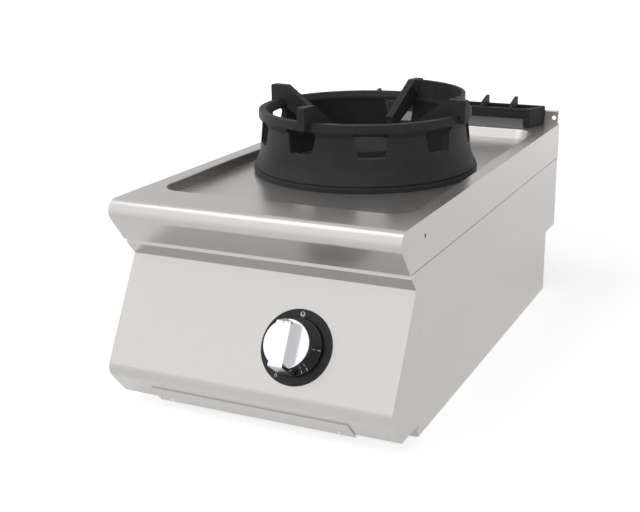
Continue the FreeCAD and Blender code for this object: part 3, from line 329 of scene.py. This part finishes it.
def steel_material(name, along, color=None, rough_more=0.0):
    """Satin sheet, with its brush lines along X, Y or Z."""
    steel = settings("wok_steel")
    material, tree, shader = new_material(name)
    scale = [1.0 / steel.grain_pitch] * 3
    scale["XYZ".index(along)] = 1.0 / steel.grain_length
    lines = place_group(tree, "BrushedLines", Scale=scale, Roughness=steel.roughness + rough_more)
    base = tuple(color or steel.color)
    tint = mixed(tree, lines["Sparkle"], shaded(base, 0.975), shaded(base, 1.035))
    tree.links.new(tint, shader.inputs["Base Color"])
    tree.links.new(lines["Roughness"], shader.inputs["Roughness"])
    shader.inputs["Metallic"].default_value = steel.metallic
    add_bump(tree, shader, lines["Height"], strength=0.06, distance=0.00006)
    return material


def zinc_material(name):
    """Zinc-coated sheet: dull grey with a pattern of large crystals."""
    material, tree, shader = new_material(name)
    place = object_place(tree)
    cells = tree.nodes.new("ShaderNodeTexVoronoi")
    cells.inputs["Scale"].default_value = 90.0
    tree.links.new(place, cells.inputs["Vector"])
    crystal = math_node(tree, "FRACT", math_node(tree, "MULTIPLY", cells.outputs["Color"], 7.0))
    tree.links.new(mixed(tree, crystal, (0.43, 0.445, 0.46), (0.56, 0.575, 0.59)),
                   shader.inputs["Base Color"])
    tree.links.new(ranged(tree, crystal, 0.0, 1.0, 0.4, 0.55), shader.inputs["Roughness"])
    shader.inputs["Metallic"].default_value = 0.6
    return material


def iron_material(name, roughness_more=0.0, lighter=1.0, shine=0.12):
    """Dark coated casting."""
    iron = settings("wok_iron")
    material, tree, shader = new_material(name)
    skin = place_group(tree, "CastSkin", Grit=iron.grit)
    base = shaded(iron.color, lighter)
    tint = mixed(tree, skin["Patch"], base, shaded(base, 1.3))
    tree.links.new(tint, shader.inputs["Base Color"])
    rough = math_node(tree, "MULTIPLY_ADD", skin["Patch"], 0.1, iron.roughness + roughness_more)
    tree.links.new(rough, shader.inputs["Roughness"])
    shader.inputs["Specular IOR Level"].default_value = shine
    add_bump(tree, shader, skin["Height"], strength=0.4, distance=0.0003)
    return material


def enamel_material(name):
    """Black vitreous enamel with sparse pale flecks."""
    material, tree, shader = new_material(name)
    place = object_place(tree)
    flecks = ranged(tree, noise(tree, place, 420.0, 2.0, 0.6), 0.66, 0.72, 0.0, 1.0)
    tree.links.new(mixed(tree, flecks, (0.011, 0.011, 0.012), (0.09, 0.09, 0.095)),
                   shader.inputs["Base Color"])
    tree.links.new(ranged(tree, noise(tree, place, 20.0), 0.3, 0.7, 0.22, 0.34), shader.inputs["Roughness"])
    add_bump(tree, shader, noise(tree, place, 160.0, 2.0), strength=0.15, distance=0.0002)
    return material


def plain_metal(name, color, roughness, metallic=1.0, pitch=0.0009):
    """Machined or plated metal, its roughness broken by fine noise."""
    material, tree, shader = new_material(name)
    shader.inputs["Metallic"].default_value = metallic
    place = object_place(tree)
    cloud = noise(tree, place, 30.0, 4.0, 0.6)
    tree.links.new(ranged(tree, cloud, 0.3, 0.7, roughness * 0.8, roughness * 1.25),
                   shader.inputs["Roughness"])
    tree.links.new(mixed(tree, cloud, color, shaded(color, 0.9)), shader.inputs["Base Color"])
    add_bump(tree, shader, noise(tree, place, 1.0 / pitch, 2.0), strength=0.05, distance=0.00004)
    return material


def chrome_material(name):
    """Bright plating over a cast body: nearly a mirror, with faint smears from handling."""
    material, tree, shader = new_material(name)
    shader.inputs["Metallic"].default_value = 1.0
    smear = noise(tree, object_place(tree), 70.0, 3.0, 0.55)
    tree.links.new(ranged(tree, smear, 0.3, 0.75, 0.13, 0.21), shader.inputs["Roughness"])
    tree.links.new(mixed(tree, smear, (0.74, 0.745, 0.76), (0.69, 0.695, 0.71)), shader.inputs["Base Color"])
    return material


def thread_material(name):
    """Plain steel with a thread: the height is a sine of the place along Y, past the nut."""
    material, tree, shader = new_material(name)
    shader.inputs["Metallic"].default_value = 0.9
    place = object_place(tree)
    parts = tree.nodes.new("ShaderNodeSeparateXYZ")
    tree.links.new(place, parts.inputs[0])
    pitch, nut_end = 0.0018, 0.0165
    turned = math_node(tree, "SINE", math_node(tree, "MULTIPLY", parts.outputs["Y"], 2 * math.pi / pitch))
    thread_start = INLET[0][1] + nut_end
    threaded = math_node(tree, "GREATER_THAN", parts.outputs["Y"], thread_start)
    ridge = math_node(tree, "MULTIPLY", turned, threaded)
    cloud = noise(tree, place, 160.0, 3.0)
    tree.links.new(mixed(tree, cloud, (0.46, 0.45, 0.42), (0.58, 0.57, 0.54)), shader.inputs["Base Color"])
    tree.links.new(ranged(tree, cloud, 0.3, 0.7, 0.28, 0.42), shader.inputs["Roughness"])
    add_bump(tree, shader, ridge, strength=0.9, distance=0.0006)
    return material


def gloss_material(name, color, roughness):
    """Dark gloss with a faint dusting of fine scratches."""
    material, tree, shader = new_material(name)
    cloud = noise(tree, object_place(tree), 60.0, 5.0, 0.65)
    tree.links.new(ranged(tree, cloud, 0.35, 0.75, roughness, roughness * 1.8), shader.inputs["Roughness"])
    shader.inputs["Specular IOR Level"].default_value = 0.3
    paler = tuple(channel * 1.5 + 0.003 for channel in color)
    tree.links.new(mixed(tree, cloud, color, paler), shader.inputs["Base Color"])
    return material


def ink_material(name, color):
    """Printed marks: a flat ink, a little uneven."""
    material, tree, shader = new_material(name)
    cloud = noise(tree, object_place(tree), 900.0, 2.0)
    tree.links.new(mixed(tree, cloud, color, shaded(color, 0.82)), shader.inputs["Base Color"])
    tree.links.new(ranged(tree, cloud, 0.3, 0.7, 0.45, 0.6), shader.inputs["Roughness"])
    return material


def dress(material, *nodes):
    """Give CAD nodes their material."""
    for name in nodes:
        thing = frame["nodes"][name]
        thing.data.materials.clear()
        thing.data.materials.append(material)


def soften(width, *nodes):
    """Break the sharp edges of CAD nodes: join their loose triangles, then round what turns sharply."""
    for name in nodes:
        thing = frame["nodes"][name]
        weld = thing.modifiers.new("joined", "WELD")
        weld.merge_threshold = 0.00001
        bevel = thing.modifiers.new("soft_edges", "BEVEL")
        bevel.width = width
        bevel.segments = 2
        bevel.limit_method = "ANGLE"
        bevel.angle_limit = math.radians(35.0)
        even = thing.modifiers.new("even_normals", "WEIGHTED_NORMAL")
        even.mode = "FACE_AREA"
        even.weight = 90


# ---------------------------------------------------------------- mesh helpers


def new_piece(name, points, faces, material, body, smooth=True):
    """A mesh object from whole arrays, riding on a body."""
    mesh = bpy.data.meshes.new(name)
    mesh.from_pydata(np.asarray(points, dtype=float).tolist(), [], faces)
    mesh.update()
    thing = bpy.data.objects.new(name, mesh)
    bpy.context.scene.collection.objects.link(thing)
    mesh.materials.append(material)
    if smooth:
        mesh.polygons.foreach_set("use_smooth", np.ones(len(mesh.polygons), dtype=bool))
    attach(thing, body)
    return thing


def grid_faces(rows, columns, wrap_columns=False):
    """Quads of a grid of points that runs row by row."""
    i, j = np.meshgrid(np.arange(rows - 1), np.arange(columns if wrap_columns else columns - 1),
                       indexing="ij")
    after = (j + 1) % columns
    quads = np.stack([i * columns + j, i * columns + after,
                      (i + 1) * columns + after, (i + 1) * columns + j], axis=-1)
    return quads.reshape(-1, 4).tolist()


def on_panel(across, up, out):
    """Points given from the knob's axis: across the panel, up it and out of it."""
    across, up, out = np.broadcast_arrays(np.asarray(across, dtype=float), up, out)
    return (KNOB_POINT + across[..., None] * KNOB_RIGHT
            + up[..., None] * KNOB_UP + out[..., None] * KNOB_OUT)


def flat_band(inner, outer, centre_across, centre_up, lift, start=0.0, sweep=2 * math.pi, steps=48):
    """A flat band on the panel: radius from inner to outer, turn from start through sweep."""
    turn = start + np.linspace(0.0, sweep, steps)
    radii = np.array([outer, inner])
    across = centre_across + radii[:, None] * np.sin(turn)[None, :]
    up = centre_up + radii[:, None] * np.cos(turn)[None, :]
    return on_panel(across, up, lift).reshape(-1, 3), grid_faces(2, steps)


# ---------------------------------------------------------------- operators


class WOK_OT_steel(bpy.types.Operator):
    """Give the folded sheet its satin finish"""

    bl_idname = "wok.steel"
    bl_label = "Dress the steel"

    def execute(self, context):
        brushed_group()
        dress(steel_material("worktop_steel", "Y"), "worktop")
        dress(steel_material("panel_steel", "X"), "fascia", "lower_cover", "rear_upstand")
        dress(steel_material("side_steel", "Y"), "side_panel_left", "side_panel_right")
        dress(zinc_material("zinc_sheet"), "base_plate", "back_panel", "front_rail", "rear_rail",
              "burner_bracket", "valve_bracket", "air_shutter", "holder_bracket", "pilot_bracket")
        dress(steel_material("duct_sheet", "Z", (0.5, 0.485, 0.47), 0.1), "flue_duct")
        dress(enamel_material("tray_enamel"), "burner_tray")
        soften(0.0009, "worktop")
        soften(0.0004, "fascia", "side_panel_left", "side_panel_right", "rear_upstand", "lower_cover")
        return {"FINISHED"}


class WOK_OT_iron(bpy.types.Operator):
    """Give the castings their dark coat"""

    bl_idname = "wok.iron"
    bl_label = "Dress the castings"

    def execute(self, context):
        cast_group()
        ring = ("wok_ring", "wok_arm_right", "wok_arm_rear", "wok_arm_left", "wok_arm_front")
        dress(iron_material("ring_iron"), *ring)
        dress(iron_material("grate_iron", 0.05), "flue_grate")
        dress(iron_material("burner_iron", 0.15, 1.1, 0.05), "burner_body", "burner_head", "burner_cap",
              "mixing_tube")
        soften(settings("wok_iron").edge, *ring, "flue_grate", "burner_cap")
        return {"FINISHED"}


class WOK_OT_fittings(bpy.types.Operator):
    """Give the knob, the tap and the gas lines their finishes"""

    bl_idname = "wok.fittings"
    bl_label = "Dress the fittings"

    def execute(self, context):
        dress(chrome_material("knob_chrome"), "knob_cap")
        soften(0.0007, "knob_cap")
        dress(gloss_material("knob_black", (0.006, 0.006, 0.007), 0.08), "knob_skirt")
        dress(gloss_material("bezel_print", (0.015, 0.015, 0.016), 0.42), "bezel")
        dress(plain_metal("tap_brass", (0.66, 0.48, 0.22), 0.3), "gas_valve", "injector",
              "injector_holder", "valve_spindle", "valve_plunger", "pilot_burner")
        dress(thread_material("thread_steel"), "gas_inlet")
        dress(plain_metal("pipe_steel", (0.5, 0.5, 0.51), 0.4), "inlet_pipe")
        dress(plain_metal("pipe_bright", (0.74, 0.74, 0.75), 0.32), "burner_pipe", "pilot_pipe")
        dress(plain_metal("probe_copper", (0.72, 0.42, 0.28), 0.34), "thermocouple", "probe_lead")
        return {"FINISHED"}


class WOK_OT_marks(bpy.types.Operator):
    """Print the off mark and the flame mark on the disc, and the ticks on the knob's ring"""

    bl_idname = "wok.marks"
    bl_label = "Print the marks"

    def execute(self, context):
        knob = settings("wok_knob")
        pale = ink_material("pale_ink", tuple(knob.mark_color))
        dark = ink_material("dark_ink", (0.02, 0.02, 0.02))
        lift = BEZEL_FACE + INK
        self.off_mark(knob, pale, dark, lift)
        self.flame_mark(knob, pale, lift)
        self.pointer(dark)
        self.ticks(pale)
        return {"FINISHED"}

    def off_mark(self, knob, pale, dark, lift):
        """The off mark: a pale disc, with a dark spot in its upper half."""
        size = knob.mark_size
        points, faces = flat_band(0.0, size, 0.0, knob.mark_height, lift)
        new_piece("off_mark", points, faces, pale, "carcass", smooth=False)
        points, faces = flat_band(0.0, 0.5 * size, 0.0, knob.mark_height + 0.25 * size, lift + INK)
        new_piece("off_spot", points, faces, dark, "carcass", smooth=False)

    def flame_mark(self, knob, pale, lift):
        """The flame mark: an outline that runs from its foot, t = 0, to its tip, t = 1.

        The half width goes with sin(pi t)^0.8 (1 - t / 2), and the hollow is a share of it.
        """
        steps = 24
        height, width, hollow = 0.0052, 0.0023, 0.45
        t = np.linspace(0.0, 1.0, steps)
        half = width * np.sin(np.pi * t) ** 0.8 * (1 - 0.5 * t)
        inner_t = t * 0.8 + 0.02
        centre_across = -knob.flame_reach * math.sin(knob.flame_turn)
        centre_up = knob.flame_reach * math.cos(knob.flame_turn)
        across = centre_across + np.stack([-half, -half * hollow, half * hollow, half])
        up = centre_up + height * (np.stack([t, inner_t, inner_t, t]) - 0.5)
        points = on_panel(across, up, lift).reshape(-1, 3)
        left = np.array(grid_faces(2, steps))
        right = left + 2 * steps
        faces = np.concatenate([left, right])[:, ::-1].tolist()
        new_piece("flame_mark", points, faces, pale, "carcass", smooth=False)

    def pointer(self, dark):
        """A short dark line near the tip of the grip, on its face."""
        half, foot, tip = 0.00035, 0.0215, 0.0255
        across = np.array([[-half, half], [-half, half]])
        up = np.array([[foot, foot], [tip, tip]])
        points = on_panel(across, up, GRIP_FACE + INK).reshape(-1, 3)
        new_piece("pointer_line", points, [(0, 1, 3, 2)], dark, "knob", smooth=False)

    def ticks(self, pale):
        """Four short pale strokes on the sloping rim of the black ring, at turns of 90, 137, 150 and 169
        degrees from the top.
        """
        inner, outer, half = 0.0315, 0.0355, 0.0005
        for number, turn in enumerate((90.0, 137.0, 150.0, 169.0)):
            angle = math.radians(turn)
            along = np.array([inner, outer])
            side = np.array([-half, half])
            across = along[:, None] * math.sin(angle) + side[None, :] * math.cos(angle)
            up = along[:, None] * math.cos(angle) - side[None, :] * math.sin(angle)
            points = on_panel(across, up, RIM_FACE + INK).reshape(-1, 3)
            new_piece(f"ring_tick_{number}", points, grid_faces(2, 2), pale, "knob",
                      smooth=False)


class WOK_OT_seams(bpy.types.Operator):
    """Set a dark strip in the seam under each side skirt: painted shade, a dark sheet standing in for the
    shadow in the gap
    """

    bl_idname = "wok.seams"
    bl_label = "Fill the seams"

    def execute(self, context):
        # Painted shade: near-black strips fill the gap under each skirt, so that the seam reads as dark as
        # its shadow
        seam_shade = gloss_material("seam_shade_paint", (0.012, 0.012, 0.012), 0.6)
        panel_low, panel_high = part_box("side_panel_right")
        top_low, top_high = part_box("worktop")
        inset, thickness, play = 0.0004, 0.0009, 0.00002
        height = SEAM - play
        low, high = SEAM_HEIGHT - height / 2, SEAM_HEIGHT + height / 2
        front, back = panel_low[1] + 0.03, panel_high[1] - 0.004
        for side, name in ((top_low[0] + inset, "seam_shade_left"), (top_high[0] - inset, "seam_shade_right")):
            inner = side - math.copysign(thickness, side)
            points = [(side, front, low), (side, back, low), (side, back, high), (side, front, high),
                      (inner, front, low), (inner, back, low), (inner, back, high), (inner, front, high)]
            faces = [(0, 1, 2, 3), (4, 7, 6, 5), (0, 4, 5, 1), (3, 2, 6, 7), (0, 3, 7, 4), (1, 5, 6, 2)]
            new_piece(name, points, faces, seam_shade, "carcass", smooth=False)
        return {"FINISHED"}


class WOK_OT_screws(bpy.types.Operator):
    """Replace the plain screw heads by domed ones with a cross recess"""

    bl_idname = "wok.screws"
    bl_label = "Make the screw heads"

    def execute(self, context):
        steel = plain_metal("screw_steel", (0.72, 0.71, 0.7), 0.26, 0.85)
        self.cover_heads(steel)
        self.back_heads(steel)
        return {"FINISHED"}

    def cover_heads(self, steel):
        """The two heads of the lower cover, square to the panel's underside."""
        down_front = np.array([0.0, -math.sin(UNDERSIDE_SLOPE), -math.cos(UNDERSIDE_SLOPE)])
        height, sunk = 0.0016, 0.00075
        low, high = (np.array(corner) for corner in COVER_SCREWS)
        seat = (low + high) / 2 - down_front * sunk
        left, right = seat.copy(), seat.copy()
        left[0], right[0] = low[0] + COVER_HEAD, high[0] - COVER_HEAD
        self.heads("cover_screw_heads", (left, right), down_front, COVER_HEAD, height, steel)
        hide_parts("cover_screws")

    def back_heads(self, steel):
        """The eight heads of the back panel: four over its step and four under it."""
        height = 0.0015
        low, high = (np.array(corner) for corner in BACK_SCREWS)
        upper_y, lower_y = high[1] - height, low[1]
        places = [
            np.array([across, y, z])
            for across in (low[0] + BACK_HEAD, high[0] - BACK_HEAD)
            for y, z in ((upper_y, 0.120), (upper_y, 0.205), (lower_y, 0.025), (lower_y, 0.085))
        ]
        self.heads("back_screw_heads", places, np.array([0.0, 1.0, 0.0]), BACK_HEAD, height, steel)
        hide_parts("back_screws")

    def heads(self, name, places, out, radius, height, material):
        """Domed heads on a polar grid, with r the share of the radius and a the turn.

        The height is sqrt(1 - r^4) times a share that falls from 1 to the shoulder, less a recess where
        the place lies in one of the two arms of a cross. The arms fade out towards the cross's end.
        """
        shoulder, cross_depth = 0.62, 0.5
        cross_end, cross_fade = 0.6, 0.15
        arm_half, arm_edge = 0.17, 0.06
        across = np.array([1.0, 0.0, 0.0])
        up = np.cross(out, across)
        r = np.concatenate([np.linspace(0.0, 0.7, 15), np.linspace(0.76, 1.0, 6)])[:, None]
        a = np.linspace(0.0, 2 * math.pi, 48, endpoint=False)[None, :]
        x, y = r * np.cos(a), r * np.sin(a)
        reach = np.clip((cross_end - r) / cross_fade, 0.0, 1.0)
        arm = np.clip((arm_half - np.minimum(np.abs(x), np.abs(y))) / arm_edge, 0.0, 1.0)
        dome = np.sqrt(np.clip(1 - r ** 4, 0.0, 1.0)) * (shoulder + (1 - shoulder) * (1 - r ** 2))
        rise = dome - cross_depth * arm * reach
        shape = (x[..., None] * across + y[..., None] * up) * radius + rise[..., None] * out * height
        points = np.concatenate([shape.reshape(-1, 3) + place for place in places])
        one = np.array(grid_faces(r.shape[0], a.shape[1], wrap_columns=True))
        count = r.shape[0] * a.shape[1]
        faces = np.concatenate([one + count * number for number in range(len(places))])
        return new_piece(name, points, faces.tolist(), material, "carcass")


class WOK_OT_studio(bpy.types.Operator):
    """Floor, surroundings, lamps and camera"""

    bl_idname = "wok.studio"
    bl_label = "Set the studio"

    def execute(self, context):
        studio = settings("wok_studio")
        self.floor(studio)
        self.card(studio)
        self.surroundings(studio)
        self.lamp("key_lamp", studio.key_place, 4.8, studio.key_power)
        self.lamp("fill_lamp", studio.fill_place, 2.0, studio.fill_power)
        self.lamp("strip_lamp", studio.strip_place, 1.1, studio.strip_power)
        self.camera()
        context.scene.view_settings.view_transform = "Standard"
        return {"FINISHED"}

    def paper(self, name, corners, material_name, color, specular):
        """A flat sheet of matt paper that can glow white, with its shader's tree and shader."""
        mesh = bpy.data.meshes.new(name)
        mesh.from_pydata(corners, [], [(0, 1, 2, 3)])
        thing = bpy.data.objects.new(name, mesh)
        bpy.context.scene.collection.objects.link(thing)
        material, tree, shader = new_material(material_name)
        shader.inputs["Base Color"].default_value = (*color, 1.0)
        shader.inputs["Roughness"].default_value = 0.9
        shader.inputs["Specular IOR Level"].default_value = specular
        shader.inputs["Emission Color"].default_value = (1.0, 1.0, 1.0, 1.0)
        mesh.materials.append(material)
        return thing, tree, shader

    def floor(self, studio):
        """A flat square, far wider than the view. Away from the range it shows its full white."""
        half = 12.0
        corners = [(-half, -half, 0.0), (half, -half, 0.0), (half, half, 0.0), (-half, half, 0.0)]
        thing, tree, shader = self.paper("floor", corners, "floor_paper", studio.floor_color, 0.1)
        near, far = 0.7, 2.4
        distance = tree.nodes.new("ShaderNodeVectorMath")
        distance.operation = "LENGTH"
        tree.links.new(object_place(tree), distance.inputs[0])
        whole = ranged(tree, distance.outputs["Value"], near, far, studio.floor_glow, 1.0)
        tree.links.new(math_node(tree, "MULTIPLY", seen_directly(tree), whole),
                       shader.inputs["Emission Strength"])

    def card(self, studio):
        """A grey card behind the range, which the worktop mirrors. The camera itself doesn't see it."""
        back, left, right, low, high = 3.5, -3.4, 0.4, 0.95, 3.2
        corners = [(left, back, low), (right, back, low), (right, back, high), (left, back, high)]
        thing, tree, shader = self.paper("grey_card", corners, "card_paper", (0.1, 0.1, 0.1), 0.0)
        thing.visible_camera = False
        tree.links.new(math_node(tree, "MULTIPLY", seen_directly(tree), studio.card_grey),
                       shader.inputs["Emission Strength"])

    def surroundings(self, studio):
        world = bpy.data.worlds.new("studio_white")
        world.use_nodes = True
        bpy.context.scene.world = world
        tree = world.node_tree
        glow = tree.nodes["Background"]
        glow.inputs["Color"].default_value = (1.0, 1.0, 1.0, 1.0)
        share = tree.nodes.new("ShaderNodeMapRange")
        share.inputs["To Min"].default_value = studio.sky_strength
        share.inputs["To Max"].default_value = 1.0
        tree.links.new(seen_directly(tree), share.inputs["Value"])
        tree.links.new(share.outputs["Result"], glow.inputs["Strength"])

    def lamp(self, name, place, width, power):
        data = bpy.data.lights.new(name, "AREA")
        data.size = width
        data.energy = power
        thing = bpy.data.objects.new(name, data)
        thing.location = place
        aim = Vector((0.0, 0.0, 0.2)) - Vector(place)
        thing.rotation_euler = aim.to_track_quat("-Z", "Y").to_euler()
        bpy.context.scene.collection.objects.link(thing)

    def camera(self):
        """The view's own axes: right, up and back, turned by the roll."""
        view = settings("wok_camera")
        az, el, roll = view.azimuth, view.elevation, view.roll
        back = Vector((math.sin(az) * math.cos(el), -math.cos(az) * math.cos(el), math.sin(el)))
        right = Vector((math.cos(az), math.sin(az), 0.0))
        up = back.cross(right)
        across = right * math.cos(roll) + up * math.sin(roll)
        upward = up * math.cos(roll) - right * math.sin(roll)
        turn = Matrix((across, upward, back)).transposed().to_4x4()
        data = bpy.data.cameras.new("camera")
        data.sensor_width = 36.0
        data.lens = view.lens
        data.shift_x, data.shift_y = view.shift
        data.clip_start = 0.05
        data.clip_end = 60.0
        thing = bpy.data.objects.new("camera", data)
        thing.matrix_world = Matrix.Translation(Vector(view.place)) @ turn
        bpy.context.scene.collection.objects.link(thing)
        bpy.context.scene.camera = thing


def seen_directly(tree):
    """1 for a ray from the camera, a mirror or glass, and 0 for light on its way to a surface."""
    path = tree.nodes.new("ShaderNodeLightPath")
    direct = math_node(tree, "MAXIMUM", path.outputs["Is Camera Ray"], path.outputs["Is Transmission Ray"])
    return math_node(tree, "MAXIMUM", direct, path.outputs["Is Glossy Ray"])


class WOK_PT_panel(bpy.types.Panel):
    """Lists the range's operators and their settings"""

    bl_idname = "WOK_PT_panel"
    bl_label = "Wok range"
    bl_space_type = "VIEW_3D"
    bl_region_type = "UI"
    bl_category = "Wok range"

    def draw(self, context):
        for operator in OPERATORS:
            self.layout.operator(operator.bl_idname)
        for name, group in SETTINGS:
            box = self.layout.box()
            for prop in group.__annotations__:
                box.prop(getattr(context.scene, name), prop)


OPERATORS = [WOK_OT_steel, WOK_OT_iron, WOK_OT_fittings, WOK_OT_marks, WOK_OT_seams, WOK_OT_screws,
             WOK_OT_studio]
SETTINGS = [
    ("wok_camera", WokCameraSettings),
    ("wok_studio", WokStudioSettings),
    ("wok_steel", WokSteelSettings),
    ("wok_iron", WokIronSettings),
    ("wok_knob", WokKnobSettings),
]


def register():
    for name, group in SETTINGS:
        bpy.utils.register_class(group)
        setattr(bpy.types.Scene, name, bpy.props.PointerProperty(type=group))
    for item in (*OPERATORS, WOK_PT_panel):
        bpy.utils.register_class(item)


def unregister():
    for item in (*OPERATORS, WOK_PT_panel):
        bpy.utils.unregister_class(item)
    for name, group in SETTINGS:
        delattr(bpy.types.Scene, name)
        bpy.utils.unregister_class(group)


def main():
    register()
    bpy.ops.wok.steel()
    bpy.ops.wok.iron()
    bpy.ops.wok.fittings()
    bpy.ops.wok.marks()
    bpy.ops.wok.seams()
    bpy.ops.wok.screws()
    bpy.ops.wok.studio()


if __name__ == "__main__":
    main()
